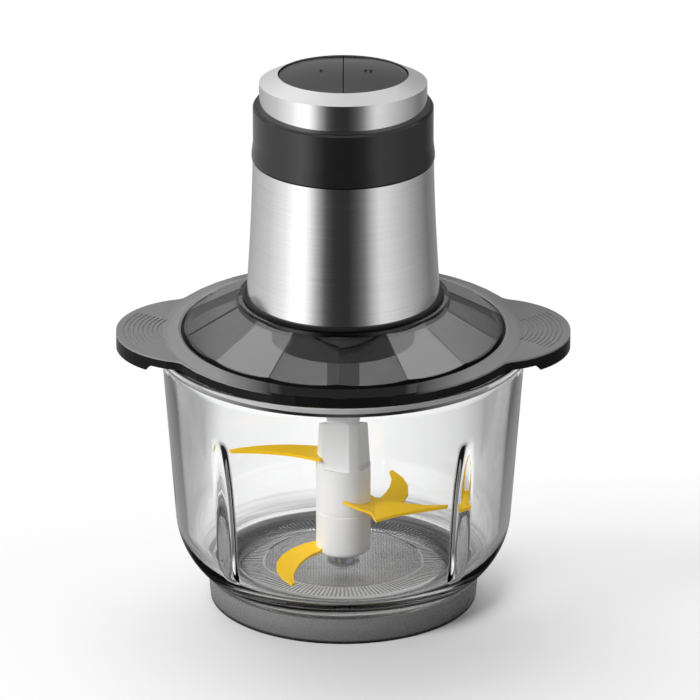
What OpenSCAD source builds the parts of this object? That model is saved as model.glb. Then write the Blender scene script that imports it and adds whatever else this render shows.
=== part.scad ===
// Electric food chopper: glass bowl, blade assembly, lid and motor unit.
// Z is the common axis, the base ring rests on z = 0 and the front faces -Y.

/* [Bowl] */
// Height of the glass rim above the table
bowl_h = 137; // [130:1:150]
// Outer radius of the wall where it meets the rim bead
wall_top_r = 90.9; // [88:0.1:94]
// How far the rim bead stands out from the wall
bead_out = 1.1; // [0.6:0.1:2]
// Height of the rim bead
bead_h = 5; // [4:0.5:7]
// Radius on the edges of the rim bead
bead_round = 1.2; // [0.5:0.1:1.8]
// Lean of the wall from upright, in degrees
wall_lean = 4.3; // [3:0.1:6]
// Thickness of the glass wall
glass_t = 5.2; // [4:0.1:6]
// Radius of the outer curve between wall and foot
heel_r = 40; // [36:1:42]
// Height at which the outer curve leaves the wall
heel_z = 44; // [42:1:48]
// How far the glass foot stands in from the wall's top
foot_inset = 26.4; // [25:0.1:28]
// Height of the bowl's floor
floor_z = 17.5; // [16:0.5:19]
// Radius of the inner curve between floor and wall
inner_heel_r = 28; // [24:1:32]
// How far the hollow under the glass floor stands in from the foot
punt_inset = 10; // [9:0.5:20]
// Depth of the hollow under the glass floor
punt_h = 3; // [1:0.5:4]
// Angle between the two front ribs, in degrees
rib_spread = 90; // [60:5:120]
// Width of a rib
rib_w = 8; // [6:1:12]
// How far a rib's crest stands in from the wall's top
rib_inset = 17; // [15:0.5:22]
// Height at which a rib's crest is nearest to the axis
rib_crest_z = 48; // [40:1:54]
// Radius of the crest's long curve
rib_curve_r = 180; // [120:5:200]
// How far the lugs that key the lid stand out from the wall
lug_out = 6.1; // [5:0.1:7]
// Width of a lug at its end
lug_w = 26; // [20:1:32]
// Depth of a lug below the rim
lug_h = 8.5; // [6:0.5:10]

/* [Base ring] */
// Thickness of the base ring outside the glass foot, at the table
base_wall = 2.5; // [2:0.1:4]
// How much wider the base ring is at its top
base_flare = 1.3; // [0.5:0.1:2]
// Height of the base ring
base_h = 13.6; // [12:0.2:15]
// Thickness of the pad under the glass foot
pad_t = 3; // [2:0.5:4]
// Width of the pad under the glass foot
pad_w = 8.5; // [6:0.5:24]

/* [Blade assembly] */
// Radius of the bowl's spindle pin
pin_r = 3.5; // [3:0.1:4.5]
// Height of the pin above the floor
pin_h = 34; // [28:1:40]
// Radius of the collar that the hub turns on
pin_collar_r = 5.6; // [5:0.1:7]
// Height of that collar above the washer
pin_collar_h = 4.8; // [3:0.1:6]
// Radius of the washer on the floor
washer_r = 8.2; // [7:0.1:10]
// Thickness of that washer
washer_t = 1.6; // [1:0.1:2.4]
// Depth of the pin's root in the glass
pin_root = 6; // [4:0.5:7]
// Radius of the hub and the lower shaft
hub_r = 13.75; // [13:0.05:15]
// Height of the lower hub
hub_h = 22.5; // [20:0.5:26]
// Radius on the hub's bottom edge
hub_round = 2.6; // [1:0.2:4]
// Wall thickness of the hollow shaft
shaft_wall = 2.4; // [1.8:0.1:3]
// Height of the round part of the shaft above the hub
shaft_round_h = 24; // [20:1:28]
// Height of the fluted part of the shaft
shaft_flute_h = 26.5; // [22:0.5:30]
// Radius of the shaft at the top of the fluted part
shaft_top_r = 12.3; // [11.5:0.1:13.5]
// Depth of the flats between the shaft's ribs
flute_depth = 2.2; // [1:0.1:2.6]
// Width of a flat between the shaft's ribs
flute_w = 15.5; // [10:0.5:17]
// Radius of the neck that goes up into the lid
neck_r = 8; // [7.5:0.1:9]
// Width across the flats of the hexagonal drive
drive_af = 9; // [8:0.5:10]
// Clearance round the hexagonal drive
drive_gap = 0.25; // [0.15:0.05:0.4]
// Depth of the drive socket in the neck
socket_h = 13; // [10:0.5:16]
// Thickness of the blade plates
blade_t = 1.5; // [1:0.1:2]
// Height of the upper blade's high arm above the floor
arm_a_z = 58.5; // [54:0.5:62]
// Height of the upper blade's low arm above the floor
arm_b_z = 32; // [30:0.5:34]
// Height of the lower blade's high arm above the floor
arm_c_z = 26; // [23:0.5:28]
// Height of the lower blade's low arm above the floor
arm_d_z = 8.6; // [8.2:0.2:10]
// Reach of the upper blade's high arm
upper_reach = 57.5; // [50:0.5:59]
// Reach of the upper blade's low arm
low_arm_reach = 52.5; // [46:0.5:56]
// Reach of the lower blade
lower_reach = 60; // [50:0.5:60.5]
// Width of the upper blade at its roots
upper_root_w = 20; // [16:0.5:20.5]
// Width of its bent middle, which the shaft hides
web_w = 8; // [6:0.5:9]
// Width of the lower blade at its roots
lower_root_w = 17; // [14:0.5:20]

/* [Lid] */
// How far the lid's edge stands in from the bowl's bead
lid_inset = 1; // [0:0.1:2]
// Height of the rim's outer edge above the glass
lid_edge_h = 5; // [4:0.5:7]
// Rise of the rim from its edge to the groove
lid_rise = 1.5; // [0.5:0.1:2.5]
// Thickness of the lid's walls
lid_t = 2.4; // [2:0.1:3]
// How far the groove round the dome stands in from the lid's edge
groove_inset = 10.5; // [9:0.5:13]
// Width of that groove
groove_w = 1.6; // [1:0.1:2.4]
// Depth of that groove
groove_d = 1.2; // [0.6:0.1:1.6]
// Number of facets on the dome
facet_count = 14; // [13:1:24]
// Height of the motor's seat above the glass
seat_h = 21.3; // [19:0.1:24]
// Height of the ring that locates the motor unit
neck_ring_h = 2.5; // [2:0.1:3.5]
// Thickness of that ring
neck_ring_t = 2.2; // [1.6:0.1:3]
// Depth of the well for the gearbox
well_h = 18.5; // [17.5:0.1:20]
// Length of the sleeve under the well
sleeve_h = 4.5; // [3:0.5:6]
// Radius of the opening for the blade shaft
sleeve_r = 10.6; // [10.2:0.1:12]
// Length of the spigot inside the bowl
spigot_h = 5.5; // [4:0.5:7]
// Clearance between the spigot and the glass
spigot_gap = 1.2; // [0.9:0.1:1.6]
// How far the ears stand out from the lid's edge
ear_out = 22.5; // [20:0.5:26]
// Radius of an ear's corners
ear_corner_r = 42; // [36:1:44]
// Half the distance between an ear's corner centres
ear_half_w = 1; // [0.5:0.5:4]
// Radius of the hollow blend between ear and rim
ear_blend = 8; // [4:1:12]
// Depth of the ears' skirt
ear_skirt_h = 8; // [7:0.5:9]
// Clearance between the bowl's lugs and the ears' skirt
notch_gap = 2; // [1.5:0.5:5]
// Number of grip grooves on an ear
grip_count = 8; // [4:1:9]
// Spacing of the grip grooves
grip_pitch = 2.4; // [2.2:0.1:2.8]
// Depth of the grip grooves
grip_d = 0.3; // [0.2:0.1:0.5]

/* [Motor unit] */
// Radius of the foot ring
foot_ring_r = 50.2; // [49:0.1:52]
// Height of the foot ring
foot_ring_h = 4.2; // [3:0.1:6]
// Outer radius of the steel shell at its foot
shell_foot_r = 48.3; // [47.6:0.1:49]
// Outer radius of the steel shell at its top
shell_top_r = 45; // [44.8:0.1:46]
// Height of the steel shell
shell_h = 71.5; // [68:0.5:76]
// Thickness of the steel shell
shell_t = 0.8; // [0.5:0.1:1]
// Outer radius of the inner housing
housing_r = 43.8; // [43.4:0.1:44]
// Wall thickness of the inner housing
housing_t = 2.2; // [1.8:0.1:2.6]
// Radius of the collar band at its foot
band_foot_r = 45.5; // [45.4:0.1:47]
// Radius of the collar band at its top
band_top_r = 44.8; // [44.6:0.1:45.3]
// Height of the collar band
band_h = 28.4; // [26:0.2:31]
// Radius of the cap ring
cap_r = 41.6; // [41:0.1:42.5]
// Wall thickness of the cap ring
cap_t = 1.2; // [0.8:0.1:1.4]
// Height of the cap ring's outer edge at the axis
cap_h = 11.4; // [10.5:0.1:13]
// Rise of the bevel from the outer edge to the button opening
bevel_rise = 4.3; // [3:0.1:5]
// Tilt of the button deck towards the back, in degrees
deck_tilt = 3.5; // [0:0.5:4]
// Radius of the round opening for the buttons
button_hole_r = 32.4; // [31.5:0.1:33]
// Gap round the buttons
button_gap = 0.5; // [0.4:0.1:0.7]
// Rise of the domed buttons above their edge
button_dome = 3; // [2:0.2:4]
// Travel of the buttons
button_travel = 2.5; // [1.5:0.1:2.8]
// Distance from the axis to a button's stem
stem_x = 14; // [12:0.5:16]
// Radius of a button's stem
stem_r = 3; // [2.5:0.1:3.5]
// Mean radius of a return spring
spring_r = 5.6; // [5:0.1:6.5]
// Radius of a return spring's wire
spring_wire_r = 0.4; // [0.3:0.05:0.5]
// Number of turns of a return spring
spring_turns = 5; // [4:1:6]

/* [Gearbox] */
// Gear module
gear_module = 1; // [0.9:0.05:1]
// Teeth of the sun pinion
sun_teeth = 12; // [12:3:15]
// Teeth of each planet gear
planet_teeth = 21; // [18:3:24]
// Pressure angle of the teeth, in degrees
pressure_angle = 25; // [22:1:27]
// Backlash between meshing teeth
backlash = 0.25; // [0.2:0.01:0.3]
// Width of the gear faces
gear_face = 8; // [6:0.5:8]
// Thickness of the ring gear behind its teeth
ring_rim = 2; // [1.5:0.1:3]
// Wall thickness of the gearbox housing
gearbox_t = 2.2; // [2:0.1:2.4]
// Radius of the output shaft
output_r = 5; // [4.5:0.1:5.5]
// Thickness of the planet carrier
carrier_t = 3; // [2.5:0.1:3.4]
// Radius of the planet pins
planet_pin_r = 2.4; // [2:0.1:3]

/* [Motor] */
// Radius of the armature shaft
armature_shaft_r = 3; // [2.5:0.1:3.2]
// Radius of the armature core
armature_r = 17; // [15:0.5:18]
// Air gap between armature and field core
air_gap = 0.6; // [0.5:0.1:1]
// Height of the field core
field_h = 28; // [24:1:30]
// Width of the field core
field_w = 62; // [58:1:64]
// Depth of the field core
field_d = 56; // [50:1:58]
// Radius of the cooling fan
fan_r = 30; // [26:1:34]
// Number of fan blades
fan_blades = 9; // [7:1:13]
// Radius of the commutator
commutator_r = 9.5; // [8:0.5:10.5]
// Height of the commutator
commutator_h = 10; // [8:0.5:11]
// Thickness of the bracket over the motor
bracket_t = 3.4; // [2.4:0.2:4]
// Width of the bracket's arms
bracket_w = 18; // [14:1:22]
// Width of a field coil
coil_w = 6.6; // [5:0.2:6.8]
// Depth of the slot that a coil lies in
coil_slot = 7; // [6.9:0.1:8]
// Width of a carbon brush
brush_w = 5.9; // [4:0.1:6.4]
// Height of a carbon brush
brush_h = 6.9; // [5:0.1:7.4]
// Length of a carbon brush
brush_l = 14; // [10:0.5:15]
// Wall of a brush holder
holder_wall = 1.5; // [1:0.1:1.8]

/* [Hidden] */
$fn = 96;
arc_steps = 10;
run_gap = 0.05;
slip_gap = 0.15;
seat_gap = 0.1;

// Colours
glass_colour = [0.85, 0.9, 0.92, 0.45];
smoke_colour = [0.25, 0.25, 0.27, 0.8];
black_plastic = [0.1, 0.1, 0.11];
white_plastic = [0.92, 0.92, 0.92];
grey_rubber = [0.5, 0.51, 0.52];
steel_colour = [0.75, 0.76, 0.78];
blade_colour = [0.9, 0.72, 0.05];
copper_colour = [0.75, 0.42, 0.2];
brass_colour = [0.8, 0.65, 0.3];

// Points of an arc, from one angle to another
function arc(c, r, a0, a1, n = arc_steps) =
  [for (i = [0:n]) c + r * [cos(a0 + (a1 - a0) * i / n), sin(a0 + (a1 - a0) * i / n)]];

// A round tube or disc between two heights
module tube(r, z0, z1, bore = 0) {
  translate([0, 0, z0]) difference() {
    cylinder(r = r, h = z1 - z0);
    if (bore > 0) translate([0, 0, -1]) cylinder(r = bore, h = z1 - z0 + 2);
  }
}

// A solid of revolution from its half outline
module turned(points) {
  rotate_extrude() polygon(points);
}

// Heights of the main seats, from the table up
hub_z = floor_z + washer_t + pin_collar_h;
joint_z = hub_z + hub_h;
seat_z = bowl_h + seat_h;
well_z = seat_z - well_h;
shell_z = seat_z + foot_ring_h;
band_z = shell_z + shell_h;
cap_z = band_z + band_h;
deck_z = cap_z + cap_h;
neck_top_z = well_z - lid_t - 1;

// Sizes of the gearbox
ring_teeth = sun_teeth + 2 * planet_teeth;
planet_orbit_r = gear_module * (sun_teeth + planet_teeth) / 2;
ring_gear_r = gear_module * (ring_teeth / 2 + 1) + ring_rim;
gearbox_in_r = ring_gear_r + seat_gap;
gearbox_r = gearbox_in_r + gearbox_t;
well_r = gearbox_r + 0.8;
box_z = well_z + 0.5;
carrier_z = box_z + 8;
gear_z = carrier_z + carrier_t + 0.5;
gearbox_top_z = shell_z + 2.5;
motor_z = gearbox_top_z + 2.6;
field_z = motor_z + 20;

// Radii that follow from the bowl's wall
rim_r = wall_top_r + bead_out;
foot_r = wall_top_r - foot_inset;
punt_r = foot_r - punt_inset;
lug_r = wall_top_r + lug_out;
base_r = foot_r + base_wall;
base_top_r = base_r + base_flare;
lid_r = rim_r - lid_inset;
groove_r = lid_r - groove_inset;
ear_reach = lid_r + ear_out;
ear_notch_x = lug_r + notch_gap;

// Bowl wall: radius of its outer face and of its inner face at a height
function wall_r(z) = wall_top_r - (bowl_h - bead_h - z) * tan(wall_lean);
function inner_r(z) = wall_r(z) - glass_t / cos(wall_lean);
heel_c = [wall_r(heel_z) - heel_r * cos(wall_lean), heel_z + heel_r * sin(wall_lean)];
inner_heel_z = floor_z + inner_heel_r * (1 - sin(wall_lean));
inner_heel_c = [inner_r(inner_heel_z) - inner_heel_r * cos(wall_lean), floor_z + inner_heel_r];
function heel_at(z) = heel_c[0] + sqrt(pow(heel_r, 2) - pow(z - heel_c[1], 2));

// Solid inside of the bowl, up to a height and grown outwards by a skin
module bowl_inside(skin = 0, top = bowl_h + 1) {
  turned(concat(
    [[0, top], [0, floor_z - skin]],
    arc(inner_heel_c, inner_heel_r + skin, -90, -wall_lean),
    [[inner_r(top) + skin, top]]
  ));
}

// One rib: the rounded edge of a large upright disc that leans out of the wall
module rib(direction) {
  crest_r = wall_top_r - rib_inset;
  rotate(direction) translate([crest_r + rib_curve_r, 0, rib_crest_z]) rotate([90, 0, 0])
    rotate_extrude() {
      translate([rib_curve_r / 2, -rib_w / 2]) square([rib_curve_r / 2 - rib_w / 2, rib_w]);
      translate([rib_curve_r - rib_w / 2, 0]) circle(rib_w / 2);
    }
}

// One lug under an ear of the lid
module lug() {
  translate([0, 0, bowl_h - lug_h]) linear_extrude(lug_h) hull() {
    for (side = [-1, 1]) {
      translate([lug_r - 4, side * (lug_w / 2 - 4)]) circle(4, $fn = 32);
      translate([wall_top_r - 12, side * (lug_w / 2 + 8)]) circle(2, $fn = 32);
    }
  }
}

module glass_bowl() {
  color(glass_colour) {
    difference() {
      union() {
        turned(concat(
          [[0, pad_t], [foot_r, pad_t]],
          arc(heel_c, heel_r, -acos((foot_r - heel_c[0]) / heel_r), -wall_lean),
          [[wall_top_r, bowl_h - bead_h - bead_out]],
          arc([rim_r - bead_round, bowl_h - bead_h + bead_round], bead_round, -60, 0, 3),
          arc([rim_r - bead_round, bowl_h - bead_round], bead_round, 0, 90, 4),
          [[0, bowl_h]]
        ));
        for (side = [0, 180]) rotate(side) lug();
      }
      bowl_inside();
      translate([0, 0, pad_t - 1]) cylinder(r = punt_r, h = punt_h + 1);
      translate([0, 0, floor_z - pin_root]) cylinder(r = pin_r + seat_gap, h = pin_root + 1);
    }
    intersection() {
      bowl_inside(skin = 1, top = bowl_h - 2 * spigot_h);
      for (direction = [90, 270 - rib_spread / 2, 270 + rib_spread / 2]) rib(direction);
    }
  }
}

module base_ring() {
  lip_z = base_h - 2;
  color(grey_rubber) turned([
    [foot_r - pad_w, 0], [base_r, 0], [base_top_r, base_h],
    [heel_at(base_h) + 0.4, base_h], [foot_r + 0.3, lip_z - 1],
    [foot_r + 0.3, pad_t], [foot_r - pad_w, pad_t]
  ]);
}

module bowl_pin() {
  collar_z = floor_z + washer_t;
  top_z = floor_z + pin_h;
  color(steel_colour) turned([
    [0, floor_z - pin_root + 0.2], [pin_r, floor_z - pin_root + 0.2], [pin_r, collar_z],
    [pin_collar_r, collar_z], [pin_collar_r, hub_z - seat_gap], [pin_r, hub_z - seat_gap],
    [pin_r, top_z - 1], [pin_r - 1, top_z], [0, top_z]
  ]);
}

module pin_washer() {
  color(steel_colour) tube(washer_r, floor_z, floor_z + washer_t, pin_r + seat_gap);
}

// Bore of the hub and the shaft, open from below round the pin bush
bush_r = pin_r + 2.6;
bush_z = hub_z;
bush_h = pin_h + floor_z - hub_z - 2;
bore_r = bush_r + seat_gap;

module pin_bush() {
  color(brass_colour) tube(bush_r, bush_z, bush_z + bush_h, pin_r + run_gap);
}

module blade_hub() {
  color(white_plastic) difference() {
    turned(concat(
      [[0, hub_z]],
      arc([hub_r - hub_round, hub_z + hub_round], hub_round, -90, 0, 4),
      [[hub_r, joint_z - 0.4], [hub_r - 0.4, joint_z], [0, joint_z]]
    ));
    tube(bore_r, hub_z - 1, joint_z + 1);
    pressed(lower_path, blade_t + 2 * seat_gap, seat_gap) lower_plan();
  }
}

module blade_shaft() {
  flute_z = joint_z + shaft_round_h;
  neck_z = flute_z + shaft_flute_h;
  bore_top = floor_z + pin_h + 1;
  color(white_plastic) difference() {
    turned([
      [0, joint_z], [hub_r - 0.4, joint_z], [hub_r, joint_z + 0.4], [hub_r, flute_z],
      [shaft_top_r, neck_z - 1], [shaft_top_r - 1, neck_z],
      [neck_r, neck_z], [neck_r, neck_top_z], [0, neck_top_z]
    ]);
    tube(bore_r, joint_z - 1, bore_top);
    tube(neck_r - shaft_wall, bore_top + 8, neck_top_z - socket_h - 4);
    translate([0, 0, neck_top_z - socket_h])
      cylinder(r = (drive_af / 2 + drive_gap) / cos(30), h = socket_h + 1, $fn = 6);
    for (turn = [0:90:270]) rotate(turn - 21) shaft_flat(flute_z, neck_z);
    pressed(upper_path, blade_t + 2 * seat_gap, seat_gap) upper_plan();
  }
}

// A flat that leans with the fluted part of the shaft
module shaft_flat(z0, z1) {
  lean = atan((hub_r - shaft_top_r) / (z1 - z0));
  translate([hub_r, 0, z0]) rotate([0, -lean, 0])
    translate([-flute_depth, -flute_w / 2, 0.6]) cube([5, flute_w, z1 - z0 + 5]);
}

// Band of even thickness along a bent line, with mitred bends
function unit(v) = v / norm(v);
function left_of(v) = [-v[1], v[0]];
function side_at(p, i) = let (
  before = left_of(unit(p[max(i, 1)] - p[max(i, 1) - 1])),
  after = left_of(unit(p[min(i, len(p) - 2) + 1] - p[min(i, len(p) - 2)])),
  n = unit(before + after)
) n / (n * before);
function band(path, t) = concat(
  [for (i = [0:len(path) - 1]) path[i] + side_at(path, i) * t / 2],
  [for (i = [len(path) - 1:-1:0]) path[i] - side_at(path, i) * t / 2]
);

// Points of a cubic curve between two ends
function curve(a, b, c, d, n = 8) =
  [for (i = [0:n]) let (t = i / n, u = 1 - t)
    u * u * u * a + 3 * u * u * t * b + 3 * u * t * t * c + t * t * t * d];

// A stamping: the plan of its children, bent to a side profile
module pressed(path, t, grow = 0) {
  intersection() {
    rotate([90, 0, 0]) translate([0, 0, -lower_reach - 5])
      linear_extrude(2 * lower_reach + 10) polygon(band(path, t));
    translate([0, 0, floor_z]) linear_extrude(arm_a_z + 10) offset(delta = grow) children();
  }
}

web_x = -hub_r + 6;
web_drop = 8;
upper_path = [
  [-upper_reach - 2, floor_z + arm_a_z], [web_x - 1, floor_z + arm_a_z],
  [web_x + 1, floor_z + arm_b_z + web_drop], [hub_r + 2, floor_z + arm_b_z],
  [upper_reach + 2, floor_z + arm_b_z]
];
lower_path = [
  [-lower_reach - 2, floor_z + arm_d_z], [-hub_r + 2, floor_z + arm_d_z],
  [hub_r - 2, floor_z + arm_c_z], [lower_reach + 2, floor_z + arm_c_z]
];

// Plan of the upper blade: a long arm to the left, a narrow middle and a broad arm to the right
module upper_plan() {
  half = upper_root_w / 2;
  tip = [-upper_reach, half / 3];
  low_tip = [low_arm_reach, -half / 2];
  shoulder = [hub_r + 2.5, -2.5 * half];
  polygon(concat(
    [[web_x - 1, web_w / 2]],
    curve([web_x - 4, 0.8 * half], [-0.4 * upper_reach, 1.05 * half], [-0.7 * upper_reach, 1.2 * half], tip),
    curve(tip + [1, -1.6], [-0.7 * upper_reach, half / 4], [-0.4 * upper_reach, -0.1 * half],
      [web_x - 4, -half]),
    [[web_x - 1, -web_w / 2], [web_x + 1, -web_w / 2]],
    curve([web_x + 1.5, -half], [-3, -1.3 * half], [0.4 * hub_r, -1.7 * half], [hub_r, -1.6 * half]),
    [shoulder],
    curve(shoulder + [1, 0.8], [0.5 * low_arm_reach, -1.6 * half], [0.7 * low_arm_reach, -1.25 * half],
      low_tip + [-1, -2]),
    curve(low_tip, [0.8 * low_arm_reach, -0.75 * half], [0.55 * low_arm_reach, -0.4 * half],
      [hub_r - 3, 0.8 * half]),
    [[web_x + 1.5, 0.8 * half], [web_x + 1, web_w / 2]]
  ));
}

// Plan of the lower blade: two sickles, half a turn apart
module lower_plan() {
  half = lower_root_w / 2;
  tip = lower_reach * [-sin(25), -cos(25)];
  for (turn = [0, 180]) rotate(turn) polygon(concat(
    curve([0, half], [-0.5 * lower_reach, 0.5 * half], [-0.72 * lower_reach, -0.47 * lower_reach], tip),
    curve(tip + [1.6, 1.8], [-0.46 * lower_reach, -0.6 * lower_reach],
      [-0.33 * lower_reach, -0.2 * lower_reach], [-0.14 * lower_reach, 1 - half]),
    [[0, -half]]
  ));
}

module upper_blade() {
  color(blade_colour) pressed(upper_path, blade_t) upper_plan();
}

module lower_blade() {
  color(blade_colour) difference() {
    pressed(lower_path, blade_t) lower_plan();
    tube(bore_r + 0.4, hub_z - 5, joint_z + 5);
  }
}

// Plan of the lid with its two ears
module lid_plan(inset = 0) {
  offset(delta = -inset) offset(r = -ear_blend, $fn = 48) offset(delta = ear_blend) {
    circle(lid_r);
    for (end = [-1, 1]) translate([end * (ear_reach - ear_corner_r), 0]) {
      square([2 * ear_corner_r, 2 * ear_half_w], center = true);
      for (side = [-1, 1]) translate([0, side * ear_half_w]) circle(ear_corner_r, $fn = 64);
    }
  }
}

// Body of the lid's dome: a drum cut by one leaning plane for each facet
module facets(drop) {
  drum_r = groove_r - groove_w / 2;
  foot = groove_r + groove_w;
  top = foot_ring_r + slip_gap + neck_ring_t - 1;
  foot_z = bowl_h + lid_edge_h + lid_rise - groove_d - drop;
  top_z = seat_z + 1 - drop;
  lean = atan((top_z - foot_z) / (foot - top));
  difference() {
    translate([0, 0, foot_z - lid_t - drop]) cylinder(r = drum_r + drop, h = top_z - foot_z + lid_t + drop);
    for (i = [0:facet_count - 1]) rotate(-92 + (i + 0.5) * 360 / facet_count)
      translate([foot, 0, foot_z]) rotate([0, lean, 0]) translate([-lid_r, -lid_r, 0])
        cube([2 * lid_r, 2 * lid_r, lid_r]);
  }
}

module lid() {
  edge_z = bowl_h + lid_edge_h;
  crest_z = edge_z + lid_rise;
  neck_r_in = foot_ring_r + slip_gap;
  neck_r_out = neck_r_in + neck_ring_t;
  spigot_r = inner_r(bowl_h) - spigot_gap;
  ear_z = bowl_h + lid_edge_h - ear_skirt_h;
  color(smoke_colour) difference() {
    union() {
      difference() {
        translate([0, 0, bowl_h]) linear_extrude(lid_edge_h) lid_plan();
        translate([0, 0, bowl_h - 1]) linear_extrude(lid_edge_h - lid_t + 1) lid_plan(lid_t);
        translate([0, 0, bowl_h - 1]) cylinder(r = groove_r - groove_w - 1, h = lid_edge_h + 2);
      }
      difference() {
        translate([0, 0, ear_z]) linear_extrude(ear_skirt_h - 1) lid_plan();
        translate([0, 0, ear_z - 1]) linear_extrude(ear_skirt_h + 1) lid_plan(lid_t);
        ear_notch(ear_z);
      }
      turned([
        [groove_r - groove_w - 2, edge_z - lid_t], [lid_r - 0.8, edge_z - 1], [lid_r - 0.8, edge_z],
        [groove_r + 2, crest_z], [groove_r + groove_w / 2, crest_z - 0.4],
        [groove_r + groove_w / 2, crest_z - groove_d], [groove_r - groove_w - 2, crest_z - groove_d]
      ]);
      tube(spigot_r, bowl_h - spigot_h, edge_z - 1, spigot_r - lid_t);
      tube(lid_r - lid_t, bowl_h, edge_z - 1, spigot_r - 1);
      difference() {
        facets(0);
        facets(lid_t * 1.2);
        cylinder(r = neck_r_in, h = 2 * seat_z);
      }
      turned([
        [well_r, seat_z - lid_t], [neck_r_out, seat_z - lid_t], [neck_r_out, seat_z + neck_ring_h],
        [neck_r_in, seat_z + neck_ring_h], [neck_r_in, seat_z], [well_r, seat_z]
      ]);
      tube(well_r + lid_t, well_z - lid_t, seat_z, well_r);
      tube(well_r + 1, well_z - lid_t, well_z, sleeve_r);
      tube(sleeve_r + lid_t, well_z - lid_t - sleeve_h, well_z - 1, sleeve_r);
    }
    for (end = [-1, 1]) for (i = [0:grip_count - 1]) ear_groove(end, i);
  }
}

// Removes the ears' skirt next to the bowl, with a round corner
module ear_notch(ear_z) {
  low = [ear_notch_x, ear_z - 1];
  rotate([90, 0, 0]) translate([0, 0, -lid_r]) linear_extrude(2 * lid_r) for (end = [-1, 1]) scale([end, 1])
    polygon(concat([[-1, low[1]]], [low],
      curve(low, low + [-2.5, 2], low + [-2.5, 5], [ear_notch_x - 6, bowl_h], 6), [[-1, bowl_h]]));
}

// One grip groove, an arc struck from the lid's axis side of the ear
module ear_groove(end, i) {
  r = ear_corner_r - 4 - i * grip_pitch + ear_half_w;
  translate([end * (ear_reach - ear_corner_r - ear_half_w), 0, bowl_h + lid_edge_h - grip_d])
    intersection() {
      tube(r + 0.5, 0, 1, r - 0.5);
      rotate(end > 0 ? 0 : 180) translate([0, -r * 0.6, -1]) cube([r + 5, r * 1.2, 3]);
    }
}

module lid_seal() {
  spigot_r = inner_r(bowl_h) - spigot_gap;
  seal_z = bowl_h - spigot_h + 1;
  color(grey_rubber) tube(inner_r(seal_z) - slip_gap, seal_z, seal_z + 2, spigot_r + seat_gap);
}

module centre_seal() {
  top_z = well_z - lid_t;
  color(grey_rubber) tube(sleeve_r, top_z - sleeve_h + 0.5, top_z - 0.5, neck_r + 0.3);
}

// Outer radius of the steel shell at a share of its height, flared at the foot
function shell_r(share) = shell_top_r + (shell_foot_r - shell_top_r) * pow(1 - share, 1.5);

module bottom_cover() {
  color(black_plastic) difference() {
    turned([
      [gearbox_r + slip_gap, seat_z], [foot_ring_r - 1, seat_z], [foot_ring_r, seat_z + 1],
      [foot_ring_r, shell_z - 0.8], [foot_ring_r - 0.8, shell_z], [gearbox_r + slip_gap, shell_z]
    ]);
    for (i = [0:3]) rotate(45 + 90 * i) translate([screw_x, 0, seat_z - 1]) {
      cylinder(r = 1.7, h = foot_ring_h + 2);
      cylinder(r = 3.1, h = 3);
    }
  }
}
screw_x = (gearbox_r + housing_r - housing_t) / 2;

module cover_screws() {
  color(steel_colour) for (i = [0:3]) rotate(45 + 90 * i) translate([screw_x, 0, 0]) {
    tube(2.9, seat_z + 0.2, seat_z + 2);
    tube(1.5, seat_z + 2, gearbox_top_z + 6);
  }
}

module steel_shell() {
  steps = 8;
  color(steel_colour) difference() {
    turned(concat(
      [for (i = [0:steps]) [shell_r(i / steps), shell_z + shell_h * i / steps]],
      [for (i = [steps:-1:0]) [shell_r(i / steps) - shell_t, shell_z + shell_h * i / steps]]
    ));
    cord_hole();
  }
}

// Way of the cord through the back of the motor unit
cord_z = shell_z + 10;
cord_r = 4;
module cord_hole() {
  translate([0, 0, cord_z]) rotate([-90, 0, 0]) cylinder(r = cord_r, h = foot_ring_r);
}

module cord_grommet() {
  color(black_plastic) translate([0, 0, cord_z]) rotate([-90, 0, 0]) difference() {
    union() {
      translate([0, 0, housing_r - housing_t - 1])
        cylinder(r = cord_r - seat_gap, h = foot_ring_r - housing_r + housing_t + 1.5);
      translate([0, 0, shell_r(0.1) + 0.3]) cylinder(r = cord_r + 1.6, h = 2.4);
    }
    translate([0, 0, housing_r - housing_t - 2]) cylinder(r = cord_r - 1.5, h = 20);
  }
}

module inner_housing() {
  lug_z = gearbox_top_z;
  color(black_plastic) difference() {
    union() {
      tube(housing_r, shell_z, cap_z, housing_r - housing_t);
      for (i = [0:3]) rotate(45 + 90 * i) intersection() {
        translate([screw_x, 0, lug_z]) tube(4.2, 0, 12);
        cylinder(r = housing_r - 1, h = 2 * cap_z);
      }
      for (i = [0:3]) rotate(45 + 90 * i) translate([screw_x + 2.5, -2, lug_z])
        cube([housing_r - screw_x - 3.5, 4, 12]);
      tube(housing_r - housing_t + 0.5, field_z - 4, field_z, field_seat_r);
      tube(housing_r - housing_t + 0.5, plate_z - 2, plate_z, field_seat_r + 1);
    }
    for (i = [0:3]) rotate(45 + 90 * i) translate([screw_x, 0, lug_z - 1]) cylinder(r = 1.55, h = 8);
    cord_hole();
  }
}
field_seat_r = 36.5;

module collar_band() {
  color(black_plastic) turned([
    [housing_r + slip_gap, band_z], [band_foot_r - 1, band_z], [band_foot_r, band_z + 1],
    [band_foot_r, band_z + 3], [band_top_r, band_z + 9], [band_top_r, cap_z - 1.2],
    [band_top_r - 1.2, cap_z], [housing_r + slip_gap, cap_z]
  ]);
}

// Everything under the tilted deck: a cone that rises to the button opening
module under_deck(drop = 0) {
  lip = 4;
  slope = bevel_rise / (cap_r - button_hole_r);
  translate([0, 0, deck_z - drop]) rotate([-deck_tilt, 0, 0]) turned([
    [0, -40], [cap_r + lip, -40], [cap_r + lip, -lip * slope],
    [button_hole_r - 1, bevel_rise + slope], [0, bevel_rise + slope]
  ]);
}

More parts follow.
